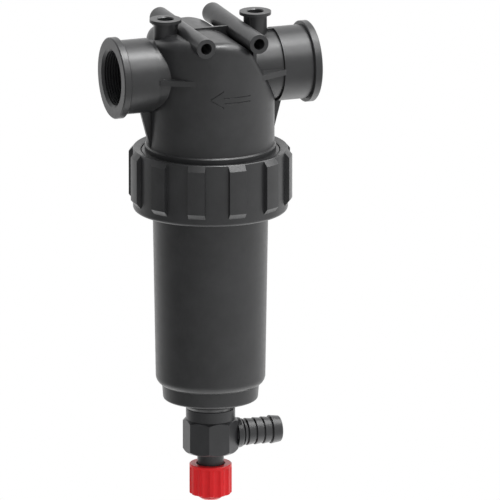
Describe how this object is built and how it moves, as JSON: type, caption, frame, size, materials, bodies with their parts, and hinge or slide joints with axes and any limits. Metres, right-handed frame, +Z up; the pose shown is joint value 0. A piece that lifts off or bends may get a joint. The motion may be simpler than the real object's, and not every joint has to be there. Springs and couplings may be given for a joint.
{
  "type": "self cleaning filter",
  "caption": "Black in-line self-cleaning water filter: threaded ports, gauge bosses, mounting sleeves, ribbed ring nut, long bowl, screen cartridge, flushing valve, hose tail and red knob",
  "frame": {"origin": "midway between the two mounting sleeves' axes, on the bowl's axis", "axes": "+Z up, +X out of the inlet port, -Y the front with the flow arrow"},
  "size_m": [0.1712, 0.1336, 0.4095],
  "materials": {
    "black_moulding": "satin moulded",
    "grey_moulding": "satin moulded",
    "cage_plastic": "moulded",
    "white_plastic": "moulded",
    "seal_rubber": "smooth",
    "steel_mesh": "woven",
    "steel_screw": "turned",
    "turned_brass": "turned",
    "red_knob": "satin moulded",
    "red_cap": "satin moulded"
  },
  "bodies": {
    "head": {"filter_head": "black_moulding"},
    "bowl": {"filter_bowl": "black_moulding", "bowl_o_ring": "seal_rubber", "lower_gasket": "seal_rubber", "drain_body": "grey_moulding", "drain_gasket": "seal_rubber", "valve_seat": "white_plastic", "hose_tail": "grey_moulding", "hose_tail_o_ring": "seal_rubber", "valve_bonnet": "grey_moulding", "bonnet_o_ring": "seal_rubber"},
    "cartridge": {"cartridge_top_collar": "cage_plastic", "cartridge_cage": "cage_plastic", "screen_mesh": "steel_mesh", "cartridge_bottom_collar": "cage_plastic", "upper_gasket": "seal_rubber", "flow_cone": "cage_plastic"},
    "slip_ring": {"nut_slip_ring": "white_plastic"},
    "nut": {"ring_nut": "black_moulding"},
    "plug": {"valve_plug": "white_plastic", "plug_seal": "seal_rubber"},
    "knob_set": {"knob": "red_knob", "knob_screw": "steel_screw", "knob_cap": "red_cap", "spindle": "turned_brass", "spindle_o_ring_upper": "seal_rubber", "spindle_o_ring_lower": "seal_rubber"}
  },
  "joints": [
    {"name": "bowl_drop", "type": "slide", "parent": "head", "child": "bowl", "axis": [0, 0, -1], "range_m": [0, 0.36]},
    {"name": "cartridge_draw", "type": "slide", "parent": "head", "child": "cartridge", "axis": [0, 0, -1], "range_m": [0, 0.18]},
    {"name": "nut_back_off", "type": "slide", "parent": "bowl", "child": "slip_ring", "axis": [0, 0, -1], "range_m": [0, 0.03]},
    {"name": "nut_turn", "type": "hinge", "parent": "slip_ring", "child": "nut", "pos_m": [0, 0, -0.12], "axis": [0, 0, 1], "range_deg": [0, 1080]},
    {"name": "plug_travel", "type": "slide", "parent": "bowl", "child": "plug", "axis": [0, 0, -1], "range_m": [0, 0.006]},
    {"name": "knob_turn", "type": "hinge", "parent": "plug", "child": "knob_set", "pos_m": [0, 0, -0.37], "axis": [0, 0, 1], "range_deg": [0, 720]}
  ],
  "couplings": [
    {"joint": "cartridge_draw", "follows": "bowl_drop", "ratio": 0.5},
    {"joint": "nut_turn", "follows": "nut_back_off", "rad_per_m": 628.32},
    {"joint": "knob_turn", "follows": "plug_travel", "rad_per_m": 2094.4}
  ]
}
